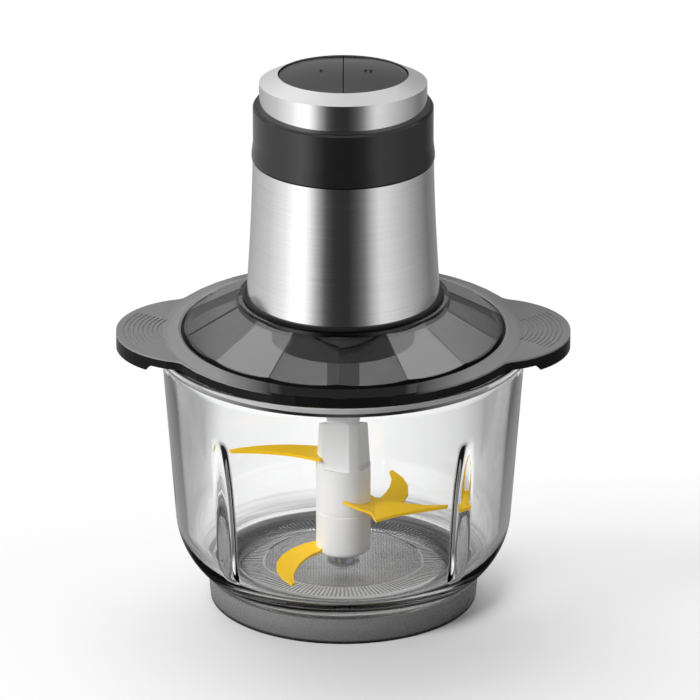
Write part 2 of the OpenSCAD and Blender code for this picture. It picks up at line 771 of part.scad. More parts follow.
module cap_ring() {
  color(steel_colour) difference() {
    intersection() {
      tube(cap_r, cap_z, deck_z + 12, button_hole_r);
      under_deck();
    }
    intersection() {
      tube(cap_r - cap_t, cap_z - 1, deck_z + 12);
      under_deck(cap_t * 1.1);
    }
  }
}

// Guide and floor for the buttons, inside the cap ring
frame_floor_z = cap_z + 1.6;
flange_top_z = deck_z - 1.4;
module button_frame() {
  guide_r = button_hole_r + 1;
  outer_r = cap_r - cap_t - slip_gap;
  color(black_plastic) difference() {
    union() {
      tube(outer_r, cap_z, frame_floor_z + 1.6);
      tube(outer_r, cap_z, deck_z - cap_t - 3, guide_r);
      tube(housing_r - housing_t - slip_gap, cap_z - 3, cap_z, housing_r - housing_t - 3);
      translate([-0.6, -guide_r, cap_z + 1]) cube([1.2, 2 * guide_r, 3.5]);
    }
    for (end = [-1, 1]) translate([end * stem_x, 0, cap_z - 1]) cylinder(r = stem_r + 0.4, h = 6);
  }
}

// Half-moon button with a domed top, a keeper flange and a stem
module button(end) {
  r = button_hole_r - button_gap;
  dome_r = (r * r + button_dome * button_dome) / (2 * button_dome);
  base_z = deck_z - 2.8;
  color(black_plastic) {
    intersection() {
      union() {
        tube(r, base_z, deck_z + 14);
        tube(r + 0.8, base_z, base_z + 1);
      }
      translate([end > 0 ? button_gap / 2 : -button_gap / 2 - 2 * r, -r - 2, base_z - 1])
        cube([2 * r, 2 * r + 4, 40]);
      translate([0, 0, deck_z]) rotate([-deck_tilt, 0, 0])
        translate([0, 0, bevel_rise - 0.9 + button_dome - dome_r]) sphere(dome_r, $fn = 180);
    }
    translate([end * stem_x, 0, 0]) tube(stem_r, switch_top_z + button_travel + 0.4, base_z);
    for (k = [0:(end > 0 ? 1 : 0)]) translate([end * 11 + k * 2.6, 0, 0]) dot();
  }
}

// Raised speed mark on a button
module dot() {
  r = button_hole_r - button_gap;
  intersection() {
    tube(0.7, deck_z, deck_z + 20);
    translate([0, 0, deck_z]) rotate([-deck_tilt, 0, 0])
      translate([0, 0, bevel_rise - 0.9 + button_dome + 0.35 - 15]) tube(r, 0, 15);
  }
}
switch_top_z = frame_floor_z - 6;
switch_h = 10;

module button_left() button(-1);
module button_right() button(1);

// Return spring: a coil with round wire, closed at both ends
module coil(end) {
  z0 = frame_floor_z + 1.6 + spring_wire_r + 0.05;
  z1 = deck_z - 2.8 - spring_wire_r - 0.05;
  n = 14;
  m = 6;
  count = spring_turns * n;
  points = [for (i = [0:count]) for (j = [0:m - 1]) let (
    a = 360 * i / n, b = 360 * j / m, r = spring_r + spring_wire_r * cos(b)
  ) [r * cos(a), r * sin(a), z0 + (z1 - z0) * i / count + spring_wire_r * sin(b)]];
  faces = concat(
    [[for (j = [0:m - 1]) j]],
    [for (i = [0:count - 1]) for (j = [0:m - 1])
      [i * m + j, (i + 1) * m + j, (i + 1) * m + (j + 1) % m, i * m + (j + 1) % m]],
    [[for (j = [m - 1:-1:0]) count * m + j]]
  );
  color(steel_colour) translate([end * stem_x, 0, 0]) polyhedron(points, faces);
}
module spring_left() coil(-1);
module spring_right() coil(1);

// Push switch on the ledge under a button's stem
module switch_body(end) {
  color(black_plastic) translate([end * stem_x - 5, -10, switch_top_z - switch_h]) cube([10, 20, switch_h]);
}
// Plate that carries the switches, on a ledge of the housing
plate_t = 2.5;
plate_z = switch_top_z - switch_h - plate_t;
module switch_plate() {
  color(black_plastic) tube(housing_r - housing_t - slip_gap, plate_z, plate_z + plate_t, 9);
}
module switch_left() switch_body(-1);
module switch_right() switch_body(1);

module gearbox_housing() {
  color(black_plastic) difference() {
    turned([
      [0, box_z], [gearbox_r - 1, box_z], [gearbox_r, box_z + 1], [gearbox_r, shell_z],
      [housing_r - housing_t - slip_gap, shell_z],
      [housing_r - housing_t - slip_gap, gearbox_top_z], [0, gearbox_top_z]
    ]);
    tube(gearbox_in_r, box_z + 3, gearbox_top_z + 1);
    tube(output_r + 3, box_z - 1, box_z + 4);
    for (i = [0:3]) rotate(45 + 90 * i) translate([screw_x, 0, seat_z]) cylinder(r = 1.7, h = 12);
  }
  color(black_plastic) tube(output_r + 5, box_z + 2, carrier_z - 0.4, output_r + 3);
}

module output_bush() {
  color(brass_colour) tube(output_r + 3 - 0.02, box_z + 0.2, carrier_z - 0.4, output_r + run_gap);
}

module gearbox_cover() {
  color(black_plastic) difference() {
    union() {
      difference() {
        tube(housing_r - housing_t - slip_gap, gearbox_top_z, motor_z);
        for (i = [0:3]) rotate(45 + 90 * i) translate([screw_x, 0, gearbox_top_z - 1])
          cylinder(r = 4.6, h = 5);
        for (i = [0:3]) rotate(45 + 90 * i) translate([screw_x, -2.4, gearbox_top_z - 1])
          cube([12, 4.8, 5]);
      }
      tube(bearing_r + 2.5, motor_z - 1, motor_z + 3);
    }
    tube(bearing_r + 0.02, motor_z - 2, motor_z + 4);
    tube(armature_shaft_r + 2, gearbox_top_z - 1, motor_z);
  }
}
bearing_r = 8;

// Ball bearing shown as its outer sleeve round the shaft
module bearing(z0, z1) {
  color(steel_colour) tube(bearing_r, z0, z1, armature_shaft_r + run_gap);
}
module lower_bearing() bearing(motor_z - 1.8, motor_z + 2.8);
module upper_bearing() bearing(bracket_z - 0.5, bracket_z + 3.5);

// Points of one involute tooth's flank, from root to tip, mirrored about its middle
function involute_turn(r, base) = let (a = acos(min(1, base / r))) tan(a) * 180 / PI - a;
function tooth(teeth, add, ded, thin) = let (
  pitch = gear_module * teeth / 2,
  base = pitch * cos(pressure_angle),
  half = 90 / teeth - thin / pitch * 90 / PI,
  low = max(base, pitch - ded),
  flank = [for (i = [0:3]) let (r = low + (pitch + add - low) * i / 3)
    [r, half + involute_turn(pitch, base) - involute_turn(r, base)]],
  root = [pitch - ded, half + involute_turn(pitch, base) - involute_turn(low, base)]
) concat([for (i = [3:-1:0]) [flank[i][0], -flank[i][1]]], [[root[0], -root[1]]]);
function mirrored(side) = concat(
  [for (i = [len(side) - 1:-1:0]) side[i]],
  [for (p = side) [p[0], -p[1]]]
);
function gear_outline(teeth, add, ded, thin) = [
  for (k = [0:teeth - 1]) for (p = mirrored(tooth(teeth, add, ded, thin)))
    p[0] * [cos(p[1] + 360 * k / teeth), sin(p[1] + 360 * k / teeth)]
];
tooth_add = 0.8 * gear_module;
tooth_ded = gear_module;

module external_gear(teeth, bore, h) {
  linear_extrude(h) difference() {
    polygon(gear_outline(teeth, tooth_add, tooth_ded, backlash / 2));
    circle(bore);
  }
}

// The sun has a tooth towards each planet, so a gap of the planet faces the sun
even_planet = planet_teeth % 2 == 0;
planet_phase = even_planet ? 180 / planet_teeth : 0;
ring_phase = even_planet ? 180 / ring_teeth : 0;
module sun_pinion() {
  color(steel_colour) translate([0, 0, gear_z])
    external_gear(sun_teeth, armature_shaft_r + 0.02, gear_face + 0.6);
}
module planet_gear(k) {
  color(white_plastic) rotate(120 * k) translate([planet_orbit_r, 0, gear_z])
    rotate(planet_phase) external_gear(planet_teeth, planet_pin_r + run_gap, gear_face);
}
module planet_gear_1() planet_gear(0);
module planet_gear_2() planet_gear(1);
module planet_gear_3() planet_gear(2);

module ring_gear() {
  color(white_plastic) translate([0, 0, gear_z - 0.3]) rotate(ring_phase)
    linear_extrude(gearbox_top_z - gear_z + 0.3)
    difference() {
      circle(ring_gear_r);
      polygon(gear_outline(ring_teeth, tooth_ded, tooth_add, -backlash / 2));
    }
}

module planet_carrier() {
  color(steel_colour) difference() {
    union() {
      tube(planet_orbit_r + planet_pin_r + 3, carrier_z, carrier_z + carrier_t);
      tube(output_r, box_z - 0.3, carrier_z + 1);
      tube(spindle_r, neck_top_z - socket_h + 2, box_z);
    }
    for (k = [0:2]) rotate(120 * k) translate([planet_orbit_r, 0, carrier_z - 1])
      cylinder(r = planet_pin_r + 0.02, h = carrier_t + 2);
  }
}
spindle_r = 3;

module planet_pins() {
  color(steel_colour) for (k = [0:2]) rotate(120 * k) translate([planet_orbit_r, 0, 0])
    tube(planet_pin_r, carrier_z + 0.2, gear_z + gear_face);
}

module drive_coupling() {
  color(black_plastic) difference() {
    translate([0, 0, neck_top_z - socket_h + 1])
      cylinder(r = drive_af / 2 / cos(30), h = box_z - 0.4 - neck_top_z + socket_h - 1, $fn = 6);
    tube(spindle_r + 0.02, neck_top_z - socket_h, box_z + 1);
  }
}

bracket_z = field_z + field_h + 19;
module armature_shaft() {
  color(steel_colour) tube(armature_shaft_r, gear_z, bracket_z + 5);
}

module armature_core() {
  slots = 12;
  color(copper_colour) tube(armature_r - 4, field_z - 4, field_z + field_h + 3, armature_shaft_r + 0.02);
  color(steel_colour) difference() {
    tube(armature_r, field_z, field_z + field_h, armature_r - 5);
    for (i = [0:slots - 1]) rotate(i * 360 / slots) translate([armature_r - 1.5, -0.8, field_z - 1])
      cube([3, 1.6, field_h + 2]);
  }
}

module commutator() {
  z0 = field_z + field_h + 4;
  color(copper_colour) tube(commutator_r, z0, z0 + commutator_h, armature_shaft_r + 0.02);
}

module cooling_fan() {
  z0 = motor_z + 4;
  color(white_plastic) {
    tube(6, z0, z0 + 9, armature_shaft_r + 0.02);
    tube(fan_r, z0, z0 + 1.4, 5);
    for (i = [0:fan_blades - 1]) rotate(i * 360 / fan_blades) translate([5, -0.7, z0 + 1])
      cube([fan_r - 6, 1.4, 8]);
  }
}

module field_core() {
  color(steel_colour) translate([0, 0, field_z]) linear_extrude(field_h) difference() {
    intersection() {
      square([field_w, field_d], center = true);
      circle(housing_r - housing_t - slip_gap);
    }
    circle(armature_r + air_gap);
    for (end = [-1, 1]) translate([end * (field_w / 2 - coil_slot), 0])
      square([coil_slot, coil_l + 1], center = true);
  }
}

coil_l = field_d / 2 + 1;
module field_coils() {
  color(copper_colour) for (end = [-1, 1])
    translate([end * (field_w / 2 - coil_slot), 0, field_z + field_h / 2])
    cube([coil_w, coil_l, field_h + 1.5 * coil_w], center = true);
}

module motor_bracket() {
  r = housing_r - housing_t - slip_gap;
  color(black_plastic) difference() {
    union() {
      intersection() {
        for (turn = [0, 90]) rotate(turn) translate([-r, -bracket_w / 2, bracket_z])
          cube([2 * r, bracket_w, bracket_t]);
        cylinder(r = r, h = 2 * bracket_z);
      }
      tube(bearing_r + 2.5, bracket_z - 1, bracket_z + bracket_t);
    }
    tube(bearing_r + 0.02, bracket_z - 2, bracket_z + 5);
  }
}

brush_z = field_z + field_h + 5;
holder_l = brush_l + 4;
holder_bore = [brush_w + slip_gap, holder_l + 2, brush_h + slip_gap];
module brush_holders() {
  width = holder_bore[0] + 2 * holder_wall;
  color(brass_colour) for (turn = [0, 180]) rotate(turn)
    translate([-width / 2, commutator_r + 1, brush_z]) difference() {
    cube([width, holder_l, bracket_z - brush_z]);
    translate([holder_wall, -1, holder_wall]) cube(holder_bore);
  }
}

module carbon_brushes() {
  color([0.2, 0.2, 0.2]) for (turn = [0, 180]) rotate(turn)
    translate([-brush_w / 2, commutator_r + 2 * seat_gap, brush_z + holder_wall + slip_gap / 2])
      cube([brush_w, brush_l, brush_h]);
}

glass_bowl();
base_ring();
bowl_pin();
pin_washer();
blade_shaft();
blade_hub();
upper_blade();
lower_blade();
pin_bush();
lid();
lid_seal();
centre_seal();
bottom_cover();
cover_screws();
steel_shell();
inner_housing();
collar_band();
cord_grommet();
cap_ring();
button_frame();
button_left();
button_right();
spring_left();
spring_right();
switch_plate();
switch_left();
switch_right();
gearbox_housing();
gearbox_cover();
output_bush();
ring_gear();
planet_carrier();
planet_pins();
drive_coupling();
planet_gear_1();
planet_gear_2();
planet_gear_3();
sun_pinion();
armature_shaft();
armature_core();
commutator();
cooling_fan();
lower_bearing();
upper_bearing();
field_core();
field_coils();
motor_bracket();
brush_holders();
carbon_brushes();
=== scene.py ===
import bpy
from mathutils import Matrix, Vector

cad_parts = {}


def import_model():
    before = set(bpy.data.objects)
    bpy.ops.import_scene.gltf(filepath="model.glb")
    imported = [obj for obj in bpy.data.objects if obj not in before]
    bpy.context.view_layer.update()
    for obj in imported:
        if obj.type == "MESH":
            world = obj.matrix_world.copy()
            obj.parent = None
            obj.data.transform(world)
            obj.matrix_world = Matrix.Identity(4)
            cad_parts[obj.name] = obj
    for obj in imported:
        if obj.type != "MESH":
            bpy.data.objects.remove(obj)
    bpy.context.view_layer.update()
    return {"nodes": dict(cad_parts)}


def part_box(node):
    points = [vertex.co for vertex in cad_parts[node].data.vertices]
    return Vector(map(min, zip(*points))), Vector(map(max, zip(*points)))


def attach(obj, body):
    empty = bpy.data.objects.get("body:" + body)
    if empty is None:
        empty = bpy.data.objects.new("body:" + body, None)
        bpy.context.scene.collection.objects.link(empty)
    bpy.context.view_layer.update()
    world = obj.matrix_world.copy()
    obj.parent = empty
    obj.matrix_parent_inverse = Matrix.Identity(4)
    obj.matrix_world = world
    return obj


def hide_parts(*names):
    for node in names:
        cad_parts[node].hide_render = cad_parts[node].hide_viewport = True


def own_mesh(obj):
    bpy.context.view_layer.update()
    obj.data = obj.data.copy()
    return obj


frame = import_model()

import math
import bpy
from mathutils import Vector
from types import SimpleNamespace

MM = 0.001


# Node helpers
class Tree:
    """A shader node tree that is built by calls: a socket links, a number or tuple is set on the socket."""

    def __init__(self, tree):
        self.tree = tree

    def put(self, socket, value):
        if isinstance(value, bpy.types.NodeSocket):
            self.tree.links.new(value, socket)
        else:
            socket.default_value = value

    def add(self, kind, props=(), out=0, **inputs):
        node = self.tree.nodes.new("ShaderNode" + kind)
        for key, value in dict(props).items():
            setattr(node, key, value)
        for key, value in inputs.items():
            self.put(node.inputs[key.replace("_", " ")], value)
        return node.outputs[out]

    def math(self, operation, *values, clamp=False):
        node = self.tree.nodes.new("ShaderNodeMath")
        node.operation = operation
        node.use_clamp = clamp
        for socket, value in zip(node.inputs, values):
            self.put(socket, value)
        return node.outputs[0]

    def scaled(self, value, factor, offset=0.0):
        return self.math("MULTIPLY_ADD", value, factor, offset)

    def share(self, value, reach):
        """From 0 at nothing to 1 at the reach."""
        return self.scaled(value, 1 / reach)

    def across(self, value, reach):
        """From 0 at the reach to one side to 1 at the reach to the other side."""
        return self.scaled(value, 0.5 / reach, 0.5)

    def between(self, share, none, full):
        """A setting that goes from one value to another with a share from 0 to 1."""
        return self.scaled(share, full - none, none)

    def about(self, value, middle, width):
        """A setting that a noise varies about its middle."""
        return self.scaled(value, width, middle - width / 2)

    def times(self, a, b):
        return self.math("MULTIPLY", a, b)

    def larger(self, a, b, clamp=False):
        return self.math("MAXIMUM", a, b, clamp=clamp)

    def above(self, value, limit):
        return self.math("GREATER_THAN", value, limit)

    def below(self, value, limit):
        return self.math("LESS_THAN", value, limit)

    def radius(self, x, y):
        return self.math("SQRT", self.math("ADD", self.times(x, x), self.times(y, y)))

    def stretched(self, values, rates):
        """A place for a texture that runs at its own rate along each of three values."""
        x, y, z = [self.times(value, rate) for value, rate in zip(values, rates)]
        return self.add("CombineXYZ", X=x, Y=y, Z=z)

    def noise(self, vector, scale, detail, **more):
        return self.add("TexNoise", Vector=vector, Scale=scale, Detail=detail, **more)

    def mix(self, factor, a, b):
        node = self.tree.nodes.new("ShaderNodeMix")
        node.data_type = "RGBA"
        for name, value in (("Factor_Float", factor), ("A_Color", a), ("B_Color", b)):
            self.put(next(s for s in node.inputs if s.identifier == name), value)
        return next(s for s in node.outputs if s.identifier == "Result_Color")

    def ramp(self, factor, stops, smooth=False):
        """A colour ramp through (place, tone) stops, with places from 0 to 1."""
        node = self.tree.nodes.new("ShaderNodeValToRGB")
        ramp = node.color_ramp
        ramp.interpolation = "EASE" if smooth else "LINEAR"
        while len(ramp.elements) < len(stops):
            ramp.elements.new(1.0)
        for element, (place, tone) in zip(ramp.elements, stops):
            element.position = place
            element.color = grey(tone)
        self.put(node.inputs[0], factor)
        return node.outputs[0]

    def split(self, vector):
        node = self.tree.nodes.new("ShaderNodeSeparateXYZ")
        self.put(node.inputs[0], vector)
        return node.outputs

    def rays(self):
        return self.tree.nodes.new("ShaderNodeLightPath").outputs

    def coords(self):
        """A point in the row frame in metres: its place, x, y and z, radius and angle round the axis."""
        place = self.add("TexCoord", out=3)
        x, y, z = self.split(place)
        turn = self.math("ARCTAN2", y, x)
        return SimpleNamespace(place=place, x=x, y=y, z=z, turn=turn, radius=self.radius(x, y))


def grey(tone):
    return (tone, tone, tone, 1)


def material(name):
    made = bpy.data.materials.new(name)
    made.use_nodes = True
    return made, Tree(made.node_tree), made.node_tree.nodes["Principled BSDF"]


def settings(tree, shader, **values):
    for key, value in values.items():
        tree.put(shader.inputs[key.replace("_", " ")], value)


def bump(tree, shader, height, strength, distance):
    tree.put(shader.inputs["Normal"], tree.add("Bump", Height=height, Strength=strength, Distance=distance))


def set_material(names, made):
    for name in names:
        thing = frame["nodes"][name]
        thing.data.materials.clear()
        thing.data.materials.append(made)


def link(name, verts, faces, body):
    """A smooth piece of the object, from points in millimetres, that moves with a CAD body."""
    data = bpy.data.meshes.new(name)
    data.from_pydata([(x * MM, y * MM, z * MM) for x, y, z in verts], [], faces)
    data.validate()
    thing = bpy.data.objects.new(name, data)
    bpy.context.scene.collection.objects.link(thing)
    for face in data.polygons:
        face.use_smooth = True
    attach(thing, body)
    return thing


# Camera: degrees above the table, distance and aim in metres
CAMERA_RISE, CAMERA_FAR, CAMERA_AIM = 22.0, 4.5, (0.00335, 0.1311)
# Focal length and picture width in pixels, and sensor width in millimetres
FOCAL_PX, PICTURE_PX, SENSOR_W = 9000, 700, 36


def camera():
    data = bpy.data.cameras.new("camera")
    thing = bpy.data.objects.new("camera", data)
    bpy.context.scene.collection.objects.link(thing)
    up = math.radians(CAMERA_RISE)
    across, height = CAMERA_AIM
    thing.location = (across, -CAMERA_FAR * math.cos(up), height + CAMERA_FAR * math.sin(up))
    thing.rotation_euler = (math.pi / 2 - up, 0, 0)
    data.sensor_width = SENSOR_W
    data.lens = FOCAL_PX * SENSOR_W / PICTURE_PX
    data.clip_end = 60
    bpy.context.scene.camera = thing


# World: tones that steel and glass mirror, by direction in degrees to the right of the camera
MIRRORED = [(-180, 0.35), (-150, 0.48), (-104, 0.70), (-77, 1.02), (-54, 1.55), (-43, 1.1), (-33, 0.5),
            (-22, 0.10), (-12, 0.04), (6, 0.03), (16, 0.08), (26, 0.20), (36, 0.55), (46, 0.85), (58, 0.78),
            (69, 0.66), (95, 0.42), (128, 0.19), (180, 0.35)]
# Tones behind the glass: bright straight behind the bowl, dark cards to the sides
BEHIND = [(-180, 1.0), (-140, 0.75), (-115, 0.18), (-60, 0.1), (0, 0.3), (60, 0.1), (115, 0.18), (140, 0.75),
          (180, 1.0)]
# Tones that are mirrored of the sky, of two high cards behind to the sides, and of what lies below
SKY, CARD, UNDER = 0.8, 3.0, 0.02
# Tone of the soft light from all round
SOFT = 0.28
# Shares of sky, card and walls by height, where 0 is straight down, 0.5 the horizon and 1 straight up
SKY_RISE = [(0.0, 0.0), (0.7, 0.0), (0.88, 1.0), (0.97, 1.0), (1.0, 0.15)]
CARD_RISE = [(0.72, 0.0), (0.79, 1.0), (0.945, 1.0), (0.975, 0.0)]
WALL_RISE = [(0.24, 0.0), (0.31, 1.0)]
# Share of card by direction, where 0 is the camera's side and 1 straight behind the object
CARD_TURN = [(0.62, 0.0), (0.7, 1.0), (0.85, 1.0), (0.93, 0.0)]


def by_direction(tree, turn, tones):
    return tree.ramp(tree.across(turn, math.pi), [((angle + 180) / 360, tone) for angle, tone in tones])


def world():
    """White to the camera, cards for what is mirrored or shows through glass, and else soft even light."""
    made = bpy.data.worlds.new("studio")
    made.use_nodes = True
    bpy.context.scene.world = made
    tree = Tree(made.node_tree)
    x, y, z = tree.split(tree.add("TexCoord", out=0))
    turn = tree.math("ARCTAN2", x, tree.times(y, -1.0))
    height = tree.across(z, 1.0)
    card_side = tree.ramp(tree.share(tree.math("ABSOLUTE", turn), math.pi), CARD_TURN)
    card = tree.times(card_side, tree.ramp(height, CARD_RISE))
    sky = tree.mix(card, grey(SKY), grey(CARD))
    walls = tree.mix(tree.ramp(height, WALL_RISE), grey(UNDER), by_direction(tree, turn, MIRRORED))
    mirrored = tree.mix(tree.ramp(height, SKY_RISE, smooth=True), walls, sky)
    rays = tree.rays()
    soft = tree.mix(rays["Is Transmission Ray"], grey(SOFT), by_direction(tree, turn, BEHIND))
    lit = tree.mix(rays["Is Glossy Ray"], soft, mirrored)
    back = made.node_tree.nodes["Background"]
    tree.put(back.inputs["Color"], tree.mix(rays["Is Camera Ray"], lit, grey(1.0)))
    tree.put(back.inputs["Strength"], 1.0)


# Floor: half its width in metres and its two close tones
FLOOR_HALF, FLOOR_TONES = 6.0, (0.925, 0.935)
# Painted tones of the floor where it shows through glass, as painted shade to the sides, by distance to the
# right of the axis in metres
THROUGH_GLASS = [(-0.32, 1.0), (-0.22, 0.08), (-0.12, 0.25), (-0.095, 0.45), (-0.078, 0.88), (-0.06, 0.94),
                 (-0.025, 1.0), (0.01, 1.0), (0.03, 0.93), (0.055, 0.84), (0.075, 0.7), (0.1, 0.38),
                 (0.22, 0.08), (0.32, 1.0)]
# How far those tones reach to each side, and how much more of the floor's white comes through glass as
# painted light
CARD_REACH, GLASS_LIFT = 0.32, 0.14
# Share of plain white in the floor by depth, from this far in front to as far behind in metres
WHITE_DEPTH, WHITE_BEHIND = 0.2, [(0.0, 0.0), (0.4, 0.0), (0.55, 0.25), (0.72, 0.8), (0.9, 1.0)]
# The same by radius, up to this radius in metres
WHITE_REACH, WHITE_AROUND = 0.5, [(0.2, 0.0), (0.44, 0.45), (0.8, 1.0)]


def floor():
    """A pale floor that keeps the object's shadow near it and fades to white behind and around."""
    data = bpy.data.meshes.new("floor")
    corners = [(-1, -1), (1, -1), (1, 1), (-1, 1)]
    data.from_pydata([(x * FLOOR_HALF, y * FLOOR_HALF, 0) for x, y in corners], [], [(0, 1, 2, 3)])
    thing = bpy.data.objects.new("floor", data)
    bpy.context.scene.collection.objects.link(thing)
    made, tree, shader = material("floor")
    at = tree.coords()
    rays = tree.rays()
    through = rays["Is Transmission Ray"]
    cloud = tree.noise(at.place, scale=3.0, detail=1.0)
    pale = tree.mix(cloud, grey(FLOOR_TONES[0]), grey(FLOOR_TONES[1]))
    stops = [(0.5 + 0.5 * x / CARD_REACH, tone) for x, tone in THROUGH_GLASS]
    # Painted shade: the floor shows darker to the sides, only through glass
    glass_painted_shade = tree.ramp(tree.across(at.x, CARD_REACH), stops)
    settings(tree, shader, Base_Color=tree.mix(through, pale, glass_painted_shade), Roughness=0.9, Specular_IOR_Level=0.0)
    # Painted light: through glass the floor glows a little brighter
    glow = tree.add("Emission", Color=tree.mix(through, grey(1.0), glass_painted_shade),
                    Strength=tree.scaled(through, GLASS_LIFT, 1.0))
    behind = tree.ramp(tree.across(at.y, WHITE_DEPTH), WHITE_BEHIND)
    around = tree.ramp(tree.share(at.radius, WHITE_REACH), WHITE_AROUND)
    seen = tree.larger(rays["Is Camera Ray"], through)
    blend = made.node_tree.nodes.new("ShaderNodeMixShader")
    share = tree.times(seen, tree.larger(behind, around))
    for socket, value in zip(blend.inputs, (share, shader.outputs[0], glow)):
        tree.put(socket, value)
    tree.put(made.node_tree.nodes["Material Output"].inputs[0], blend.outputs[0])
    data.materials.append(made)
    thing.visible_glossy = False


# Lamps: name, place, target and size in metres, and power in watts
LAMPS = [
    ("key", (-0.35, 1.3, 2.1), (0, 0, 0.1), 2.0, 29),
    ("fill", (-1.7, -1.3, 1.3), (0, 0, 0.08), 1.2, 50),
]


def lamp(name, place, target, size, power):
    """A soft square lamp that lights the object but isn't seen in or through it."""
    data = bpy.data.lights.new(name, "AREA")
    data.shape = "RECTANGLE"
    data.size = size
    data.size_y = size
    data.energy = power
    thing = bpy.data.objects.new(name, data)
    thing.location = place
    thing.rotation_euler = (Vector(target) - Vector(place)).to_track_quat("-Z", "Y").to_euler()
    thing.visible_glossy = False
    thing.visible_transmission = False
    bpy.context.scene.collection.objects.link(thing)


# Bowl, in millimetres: height, height of the rim's bead, outer radius below the bead, bead's width, lean
BOWL_H, BEAD_H, WALL_TOP, BEAD_OUT, LEAN = 137.0, 5.0, 90.9, 1.1, math.radians(4.3)
# Wall, rounding outside and its height, foot radius, height of the inner floor, rounding inside
GLASS_T, HEEL_R, HEEL_Z, FOOT_R, FLOOR_Z, IN_HEEL = 5.2, 40.0, 44.0, 64.5, 17.5, 28.0
# Height of the foot over the table, and the hollow under the bowl
PAD_T, PUNT_R, PUNT_H = 3.0, 54.5, 3.0
# Ribs: angles, radius and height of the crest's innermost point, its curve, and half the rib's width
RIBS, CREST_R, CREST_Z, CREST_CURVE, RIB_HALF = (90.0, 225.0, 315.0), 73.9, 48.0, 180.0, 4.0
# A rib lies within this angle and this far to its side, and this far under the rim
RIB_ANGLE, RIB_SIDE, RIB_CLEAR = 30, 9, 11
# How a rib widens towards its foot, by how much at most, and how round its flanks are
RIB_WIDEN, RIB_WIDEST, RIB_FLANK = 0.25, 1.5, 1.25
# Lugs under the lid's ears: height, radius of the end, two corners of their outline, and angle in radians
LUG_Z, LUG_R, LUG_END, LUG_BACK, LUG_ANGLE = 128.5, 97.0, (95.8, 12.0), (79.5, 23.0), 0.4
# Roundings as steps in radius and height from a corner: the punt's upper and lower edge
PUNT_HIGH, PUNT_LOW = [(-6, 0), (-1, -0.6)], [(0, 0.8), (1, 0)]
# The same from the wall's top, from the bead's lower and upper edge, and from the lip inside
WALL_TO_BEAD, BEAD_LOW = [(0, -1.6), (0.35, -0.5)], [(-0.25, 0.5), (0, 1.4)]
BEAD_HIGH = [(0, -1.6), (-0.35, -0.5), (-1.3, 0)]
LIP_EDGE = [(1.2, 0), (0.3, -0.4), (-0.05, -1.3)]
# How far inside the foot's radius its flat ends, and half the height of the step under a lug
FOOT_FLAT, LUG_STEP = 2, 0.1
# Steps round the bowl, up its outer and inner wall, along its roundings and over its floor
ROUND_STEPS, OUTER_STEPS, INNER_STEPS, HEEL_STEPS, IN_HEEL_STEPS, FLOOR_STEPS = 360, 14, 60, 26, 30, 12


def wall_r(z):
    return WALL_TOP - (BOWL_H - BEAD_H - z) * math.tan(LEAN)


def inner_r(z):
    return wall_r(z) - GLASS_T / math.cos(LEAN)


def rounded(r, z, steps):
    return [(r + out, z + up) for out, up in steps]


def arc(centre, r, a0, a1, n):
    angles = [a0 + (a1 - a0) * i / n for i in range(n + 1)]
    return [(centre[0] + r * math.cos(a), centre[1] + r * math.sin(a)) for a in angles]


def rib_bulge(r_wall, z, turn):
    """How far a rib stands into the bowl from the inner wall, at a height and an angle."""
    best = 0.0
    reach = CREST_CURVE * CREST_CURVE - (z - CREST_Z) ** 2
    if reach <= 0:
        return best
    crest = CREST_R + CREST_CURVE - math.sqrt(reach)
    for rib in RIBS:
        off = (turn - rib + 180) % 360 - 180
        side = r_wall * math.sin(math.radians(off))
        stand = r_wall * math.cos(math.radians(off)) - crest
        if abs(off) > RIB_ANGLE or abs(side) > RIB_SIDE or stand <= 0:
            continue
        across = min(1.0, abs(side) / (RIB_HALF + min(RIB_WIDEST, stand * RIB_WIDEN)))
        best = max(best, stand * (1 - across * across) ** RIB_FLANK)
    return best


def lug_reach(turn):
    """Outline of the two lugs under the lid's ears, as a radius at an angle."""
    off = math.radians(min(turn % 180, 180 - turn % 180))
    if off >= LUG_ANGLE:
        return 0.0
    along = [LUG_BACK[0] - LUG_END[0], LUG_BACK[1] - LUG_END[1]]
    across = LUG_END[0] * along[1] - LUG_END[1] * along[0]
    side = across / (math.cos(off) * along[1] - math.sin(off) * along[0])
    return min(LUG_R / math.cos(off), side)


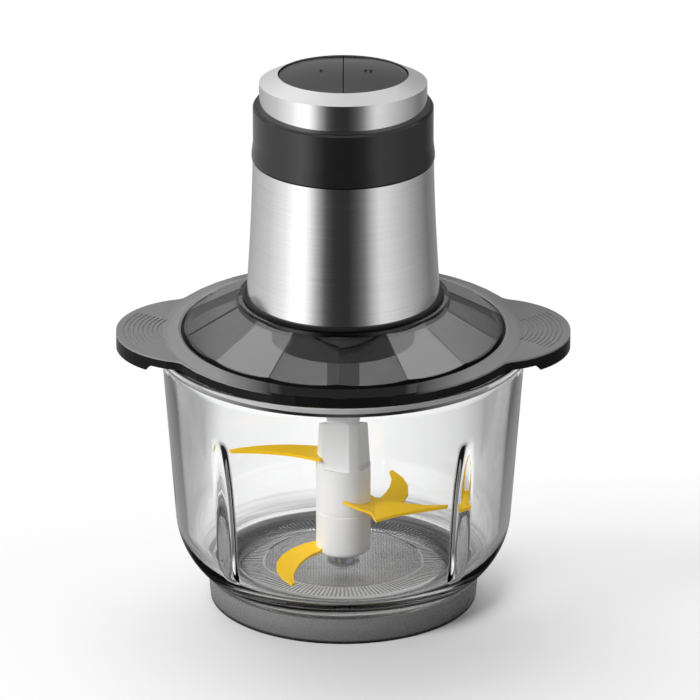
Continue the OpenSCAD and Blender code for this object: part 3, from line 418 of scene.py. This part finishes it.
def bowl_profile():
    """The bowl's outline as (radius, height) points: from the middle of its underside up, over and down."""
    heel = (wall_r(HEEL_Z) - HEEL_R * math.cos(LEAN), HEEL_Z + HEEL_R * math.sin(LEAN))
    punt_z = PAD_T + PUNT_H
    outer = [(0, punt_z)] + rounded(PUNT_R, punt_z, PUNT_HIGH) + rounded(PUNT_R, PAD_T, PUNT_LOW)
    outer.append((FOOT_R - FOOT_FLAT, PAD_T))
    outer += arc(heel, HEEL_R, -math.acos((FOOT_R - heel[0]) / HEEL_R), -LEAN, HEEL_STEPS)
    z0 = outer[-1][1]
    for i in range(1, OUTER_STEPS + 1):
        z = z0 + (LUG_Z - LUG_STEP - z0) * i / OUTER_STEPS
        outer.append((wall_r(z), z))
    rim_r, bead_z = WALL_TOP + BEAD_OUT, BOWL_H - BEAD_H
    outer.append((wall_r(LUG_Z + LUG_STEP), LUG_Z + LUG_STEP))
    outer += rounded(WALL_TOP, bead_z, WALL_TO_BEAD) + rounded(rim_r, bead_z, BEAD_LOW)
    outer += rounded(rim_r, BOWL_H, BEAD_HIGH)
    inner = rounded(inner_r(BOWL_H), BOWL_H, LIP_EDGE)
    z0, z1 = inner[-1][1], FLOOR_Z + IN_HEEL * (1 - math.sin(LEAN))
    for i in range(1, INNER_STEPS + 1):
        z = z0 + (z1 - z0) * i / INNER_STEPS
        inner.append((inner_r(z), z))
    centre = (inner_r(z1) - IN_HEEL * math.cos(LEAN), FLOOR_Z + IN_HEEL)
    inner += arc(centre, IN_HEEL, -LEAN, -math.pi / 2, IN_HEEL_STEPS)[1:]
    inner += [(centre[0] * (1 - i / FLOOR_STEPS), FLOOR_Z) for i in range(1, FLOOR_STEPS)] + [(0, FLOOR_Z)]
    return outer, inner


def bowl():
    outer, inner = bowl_profile()
    verts, faces, rings = [], [], []
    for row, (r, z) in enumerate(outer + inner):
        if r == 0:
            rings.append([len(verts)] * ROUND_STEPS)
            verts.append((0, 0, z))
            continue
        rings.append(list(range(len(verts), len(verts) + ROUND_STEPS)))
        inside = row >= len(outer)
        for i in range(ROUND_STEPS):
            turn = 360.0 * i / ROUND_STEPS
            rr = r
            if inside and z < BOWL_H - RIB_CLEAR:
                rr = r - rib_bulge(r, z, turn)
            if not inside and z > LUG_Z:
                rr = max(r, lug_reach(turn))
            verts.append((rr * math.cos(math.radians(turn)), rr * math.sin(math.radians(turn)), z))
    for p, q in zip(rings, rings[1:]):
        for i in range(ROUND_STEPS):
            j = (i + 1) % ROUND_STEPS
            quad = [p[i], p[j], q[j], q[i]]
            quad = [v for k, v in enumerate(quad) if v not in quad[:k]]
            if len(quad) > 2:
                faces.append(quad)
    thing = link("bowl_glass", verts, faces, "bowl")
    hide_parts("glass_bowl")
    thing.data.materials.append(clear_glass())
    thing.visible_shadow = False


# Heights in metres between which the glass is the bowl's floor
FLOOR_LOW, FLOOR_HIGH = 0.016, 0.0177
# Flutes on the bowl's floor lie between these radii in metres, and a fine knurl inside them
FLUTES_FROM, FLUTES_TO, KNURL_R = 0.0405, 0.055, 0.0395
# Turn and length rates of the flutes and the knurl, in radians per radian and per metre
FLUTE_RATE, KNURL_RATE = 150.0, 2300.0
# Painted shade of the floor's disc by radius, up to this radius in metres
DISC_REACH, DISC_SHADE = 0.05, [(0.3, 0.25), (0.68, 0.6), (0.8, 0.65), (0.81, 0.0)]
# Painted shade of the thick glass round the foot by height, up to this height, and the radius where it
# starts
FOOT_REACH, FOOT_SHADE = 0.025, [(0.4, 0.0), (0.42, 1.0), (0.84, 1.0), (1.0, 0.0)]
FOOT_SHADE_R = 0.0635
# Rates of the streaks in the foot's painted shade by turn, radius and height, and where the noise turns dark
# and clear
STREAK_RATES, STREAK_STOPS = (0.6, 260.0, 420.0), [(0.38, 1.0), (0.56, 0.0)]
# Tints of clear glass and of its painted shade, and height of its waves beside the relief
GLASS_TINTS, SHADE_TINT = [(0.96, 0.965, 0.965, 1), (0.97, 0.97, 0.97, 1)], (0.10, 0.10, 0.102, 1)
WAVE_HEIGHT = 0.6


def clear_glass():
    """Clear pressed glass, a little wavy, with a fluted and knurled floor, and painted shade: on the floor's
    disc, where the relief is low, and in streaks in the thick foot.
    """
    made, tree, shader = material("clear_glass")
    at = tree.coords()
    on_floor = tree.times(tree.below(at.z, FLOOR_HIGH), tree.above(at.z, FLOOR_LOW))
    flutes = tree.math("SINE", tree.times(at.turn, FLUTE_RATE))
    ring = tree.times(tree.above(at.radius, FLUTES_FROM), tree.below(at.radius, FLUTES_TO))
    rising = tree.math("SINE", tree.times(tree.math("ADD", at.x, at.y), KNURL_RATE))
    falling = tree.math("SINE", tree.times(tree.math("SUBTRACT", at.x, at.y), KNURL_RATE))
    knurl = tree.times(tree.times(rising, falling), tree.below(at.radius, KNURL_R))
    relief = tree.times(tree.math("ADD", tree.times(flutes, ring), knurl), on_floor)
    waves = tree.noise(at.place, scale=18.0, detail=1.0)
    clear = tree.mix(waves, *GLASS_TINTS)
    # Painted shade where the relief is low
    relief_shade = tree.times(tree.scaled(relief, -0.5, 0.5), on_floor)
    disc = tree.times(tree.ramp(tree.share(at.radius, DISC_REACH), DISC_SHADE), on_floor)
    streak_place = tree.stretched((at.turn, at.radius, at.z), STREAK_RATES)
    streaks = tree.ramp(tree.noise(streak_place, scale=1.0, detail=2.0), STREAK_STOPS)
    foot = tree.ramp(tree.share(at.z, FOOT_REACH), FOOT_SHADE)
    foot = tree.times(foot, tree.above(at.radius, FOOT_SHADE_R))
    # Painted shade of the disc, and of the thick foot in streaks
    shade = tree.larger(disc, tree.times(foot, tree.between(streaks, none=0.3, full=0.9)))
    shade = tree.larger(shade, relief_shade, clamp=True)
    settings(tree, shader, Base_Color=tree.mix(shade, clear, SHADE_TINT), Roughness=0.0, IOR=1.5,
             Transmission_Weight=1.0, Specular_IOR_Level=0.2)
    height = tree.math("ADD", relief, tree.times(waves, WAVE_HEIGHT))
    bump(tree, shader, height, strength=0.6, distance=0.00035)
    return made


# Return springs, in metres: mean radius, radius of the wire, turns, and travel of a button
SPRING_R, WIRE_R, TURNS, PRESS = 0.0056, 0.0004, 5, 0.0025
# Steps in a turn and round the wire
TURN_STEPS, WIRE_STEPS = 48, 12


def return_spring(node):
    """A coil spring in the place of a CAD spring."""
    low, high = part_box(node)
    middle = ((low[0] + high[0]) / 2, (low[1] + high[1]) / 2)
    z0, z1 = low[2] + WIRE_R, high[2] - WIRE_R
    count, m = TURNS * TURN_STEPS, WIRE_STEPS
    verts, faces = [], []
    for i in range(count + 1):
        turn = 2 * math.pi * i / TURN_STEPS
        for j in range(m):
            around = 2 * math.pi * j / m
            r = SPRING_R + WIRE_R * math.cos(around)
            point = (middle[0] + r * math.cos(turn), middle[1] + r * math.sin(turn),
                     z0 + (z1 - z0) * i / count + WIRE_R * math.sin(around))
            verts.append([at / MM for at in point])
    for i in range(count):
        here, there = i * m, (i + 1) * m
        faces += [[here + j, here + (j + 1) % m, there + (j + 1) % m, there + j] for j in range(m)]
    faces += [list(range(m))[::-1], [count * m + j for j in range(m)]]
    thing = link(node + "_coil", verts, faces, "motor_unit")
    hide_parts(node)
    thing.data.materials.append(frame["nodes"][node].data.materials[0])
    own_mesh(thing)


# Materials of the carried-over nodes
def moulded(name, dark, light, rough, grain=900.0, strength=0.08, **more):
    """Moulded plastic or rubber: two close tones in soft clouds, and a fine grain in gloss and relief."""
    made, tree, shader = material(name)
    place = tree.coords().place
    clouds = tree.noise(place, scale=35.0, detail=2.0)
    fine = tree.noise(place, scale=grain, detail=2.0)
    settings(tree, shader, Base_Color=tree.mix(clouds, (*dark, 1), (*light, 1)),
             Roughness=tree.about(fine, rough, width=0.12), **more)
    bump(tree, shader, fine, strength, distance=0.0002)
    return made


# Rates of the fine and the broad lines of brushed steel by turn, depth and height, and their shares
FINE_RATES, BROAD_RATES, FINE_SHARE, BROAD_SHARE = (1.3, 6.0, 2600.0), (0.5, 0.0, 420.0), 0.7, 0.3
# How much the lines vary the tone to each side, and where the noise is darkest and lightest
TONE_SWING, LINE_STOPS = 0.16, [(0.3, 0.0), (0.7, 1.0)]
# A dull bevel: how far up it faces where it starts and where it is full, its tone and its added roughness
BEVEL_FROM, BEVEL_TO, BEVEL_TONE, BEVEL_ROUGH = 0.3, 0.45, 0.5, 0.3


def brushed(name, tone, rough, lines=1.0, aniso=0.75, bevel=0.0):
    """Steel brushed round the axis: fine lines in tone, gloss and relief. A bevel can be duller."""
    made, tree, shader = material(name)
    at = tree.coords()
    along = (at.turn, at.y, at.z)
    fine = tree.noise(tree.stretched(along, FINE_RATES), scale=1.0, detail=3.0, Roughness=0.65)
    broad = tree.noise(tree.stretched(along, BROAD_RATES), scale=1.0, detail=2.0)
    both = tree.math("ADD", tree.times(fine, FINE_SHARE), tree.times(broad, BROAD_SHARE))
    low = tuple(c * (1 - TONE_SWING * lines) for c in tone)
    high = tuple(min(1, c * (1 + TONE_SWING * lines)) for c in tone)
    bare = tree.mix(tree.ramp(both, LINE_STOPS), (*low, 1), (*high, 1))
    gloss = tree.about(fine, rough, width=0.16)
    settings(tree, shader, Metallic=1.0, Base_Color=bare, Roughness=gloss)
    if bevel:
        up = tree.split(tree.add("NewGeometry", out=1))[2]
        dull = tree.ramp(up, [(BEVEL_FROM, 0.0), (BEVEL_TO, bevel)])
        settings(tree, shader, Metallic=tree.between(dull, none=1.0, full=0.0),
                 Base_Color=tree.mix(dull, bare, grey(BEVEL_TONE)),
                 Roughness=tree.math("ADD", gloss, tree.times(dull, BEVEL_ROUGH)))
    settings(tree, shader, Anisotropic=aniso, Anisotropic_Rotation=0.25,
             Tangent=tree.add("Tangent", {"direction_type": "RADIAL", "axis": "Z"}))
    bump(tree, shader, both, strength=0.10 * lines, distance=0.0001)
    return made


# Lid, in metres: top and inner radius of its black skirts, radius and half width of its groove, round edge
SKIRT_Z, SKIRT_R, GROOVE_R, GROOVE_HALF, LID_R = 0.1411, 0.088, 0.0803, 0.0009, 0.0915
# Share of satin ear by distance to the side, up to this distance in metres
EAR_REACH, EAR_ASIDE = 0.1, [(0.35, 0.0), (0.62, 1.0)]
# Share of painted shade, nearly black, in the rim by depth, from this far in front to as far behind in
# metres
RIM_DEPTH, RIM_FRONT_SHADE = 0.05, [(0.2, 1.0), (0.7, 0.0)]
# Tints of the dome, the rim, the ears and what is nearly black: the skirts and the painted shade
DOME_TINTS, RIM_TINT = [(0.11, 0.11, 0.113, 1), (0.14, 0.14, 0.143, 1)], grey(0.38)
EAR_TINT, BLACK_TINT = (0.33, 0.33, 0.335, 1), grey(0.006)


def smoky():
    """Smoky dome, satin ears and black skirts, with painted shade: a black groove, and a rim painted nearly
    black in front and clearer behind.
    """
    made, tree, shader = material("smoky_lid")
    at = tree.coords()
    cloud = tree.noise(at.place, scale=22.0, detail=2.0)
    rim = tree.above(at.radius, GROOVE_R)
    ear = tree.times(rim, tree.ramp(tree.share(tree.math("ABSOLUTE", at.x), EAR_REACH), EAR_ASIDE))
    ear = tree.larger(ear, tree.above(at.radius, LID_R))
    skirt = tree.times(tree.above(at.radius, SKIRT_R), tree.below(at.z, SKIRT_Z))
    # Painted shade: the groove is painted nearly black
    groove = tree.below(tree.math("ABSOLUTE", tree.math("SUBTRACT", at.radius, GROOVE_R)), GROOVE_HALF)
    # Painted shade: the rim is painted nearly black in front and clearer behind
    front_shade_share = tree.ramp(tree.across(at.y, RIM_DEPTH), RIM_FRONT_SHADE)
    front = tree.times(tree.times(rim, tree.between(ear, none=1.0, full=0.0)), front_shade_share)
    # Black skirts, with the painted shade of the groove and the rim's front
    black = tree.larger(tree.larger(skirt, groove), front)
    tint = tree.mix(ear, tree.mix(rim, tree.mix(cloud, *DOME_TINTS), RIM_TINT), EAR_TINT)
    clear = tree.times(tree.between(ear, none=1.0, full=0.4), tree.between(black, none=1.0, full=0.0))
    settings(tree, shader, Base_Color=tree.mix(black, tint, BLACK_TINT), IOR=1.5,
             Roughness=tree.between(ear, none=0.03, full=0.23), Transmission_Weight=clear,
             Specular_IOR_Level=tree.between(black, none=0.5, full=0.08))
    bump(tree, shader, cloud, strength=0.05, distance=0.0004)
    return made


# Tones of the base ring by height, up to this height in metres: painted shade, darkest at the table as a
# painted contact shadow
RING_REACH, RING_SHADE_TONES = 0.02, [(0.0, 0.01), (0.06, 0.015), (0.1, 0.13), (0.5, 0.19), (1.0, 0.2)]


def silicone():
    """Grey silicone with painted shade: darker towards its bottom, and a painted contact shadow at the
    table.
    """
    made, tree, shader = material("grey_silicone")
    at = tree.coords()
    fine = tree.noise(at.place, scale=900.0, detail=2.0)
    # Painted shade by height, with a painted contact shadow at the table
    settings(tree, shader, Base_Color=tree.ramp(tree.share(at.z, RING_REACH), RING_SHADE_TONES),
             Roughness=tree.about(fine, 0.275, width=0.05))
    bump(tree, shader, fine, strength=0.015, distance=0.0002)
    return made


# Moulded materials: name, nodes, dark and light tone, roughness, and more settings
MOULDED = [
    ("gloss_black", ["collar_band"], (0.008, 0.008, 0.009), (0.014, 0.014, 0.015), 0.09,
     {"strength": 0.02}),
    ("satin_black", ["bottom_cover"], (0.005, 0.005, 0.005), (0.009, 0.009, 0.009), 0.3,
     {"Specular_IOR_Level": 0.15}),
    ("housing_black", ["inner_housing", "button_frame", "switch_plate", "gearbox_housing", "gearbox_cover",
                       "drive_coupling", "motor_bracket", "switch_left", "switch_right", "carbon_brushes"],
     (0.014, 0.014, 0.015), (0.024, 0.024, 0.025), 0.38, {}),
    ("button_grey", ["button_left", "button_right"], (0.03, 0.03, 0.031), (0.04, 0.04, 0.041), 0.2,
     {"strength": 0.02}),
    ("grommet", ["cord_grommet"], (0.02, 0.02, 0.02), (0.03, 0.03, 0.03), 0.6, {}),
    ("seal", ["lid_seal", "centre_seal"], (0.62, 0.62, 0.62), (0.7, 0.7, 0.7), 0.5, {}),
    ("white_plastic", ["blade_shaft", "blade_hub"], (0.88, 0.88, 0.88), (0.92, 0.92, 0.92), 0.4,
     {"strength": 0.04, "Specular_IOR_Level": 0.3}),
    ("nylon", ["pin_bush", "ring_gear", "planet_gear_1", "planet_gear_2", "planet_gear_3", "cooling_fan"],
     (0.72, 0.70, 0.64), (0.8, 0.78, 0.72), 0.42, {}),
    # The blades glow a little, which makes up for light that the smoky lid takes away
    ("blade_gold", ["upper_blade", "lower_blade"], (0.92, 0.55, 0.0), (0.97, 0.60, 0.0), 0.45,
     {"grain": 1500.0, "strength": 0.03, "Specular_IOR_Level": 0.08, "Emission_Color": (0.95, 0.6, 0.0, 1),
      "Emission_Strength": 0.13}),
    ("brass", ["output_bush", "brush_holders"], (0.6, 0.42, 0.14), (0.72, 0.52, 0.2), 0.3,
     {"Metallic": 1.0}),
    ("copper", ["commutator", "field_coils"], (0.6, 0.27, 0.1), (0.72, 0.36, 0.16), 0.3,
     {"Metallic": 1.0}),
]
# Brushed materials: name, nodes, tone, roughness, and more settings
BRUSHED = [
    ("brushed_steel", ["steel_shell"], (0.80, 0.80, 0.81), 0.13, {"lines": 0.4, "aniso": 0.0}),
    ("cap_steel", ["cap_ring"], (0.80, 0.80, 0.81), 0.14, {"lines": 0.3, "aniso": 0.0, "bevel": 0.85}),
    ("pin_steel", ["bowl_pin", "pin_washer"], (0.62, 0.62, 0.64), 0.25, {"lines": 0.5}),
    ("machined_steel", ["planet_carrier", "planet_pins", "sun_pinion", "armature_shaft", "lower_bearing",
                        "upper_bearing", "cover_screws", "spring_left", "spring_right"],
     (0.5, 0.5, 0.52), 0.3, {"lines": 0.6}),
    ("core_steel", ["armature_core", "field_core"], (0.3, 0.31, 0.33), 0.4, {}),
]

camera()
world()
floor()
for values in LAMPS:
    lamp(*values)
bowl()
for name, nodes, dark, light, rough, more in MOULDED:
    set_material(nodes, moulded(name, dark, light, rough, **more))
for name, nodes, tone, rough, more in BRUSHED:
    set_material(nodes, brushed(name, tone, rough, **more))
set_material(["base_ring"], silicone())
set_material(["lid"], smoky())
# The lid lets soft light into the bowl
frame["nodes"]["lid"].visible_diffuse = False
return_spring("spring_left")
return_spring("spring_right")

bpy.context.scene.view_settings.view_transform = "Standard"
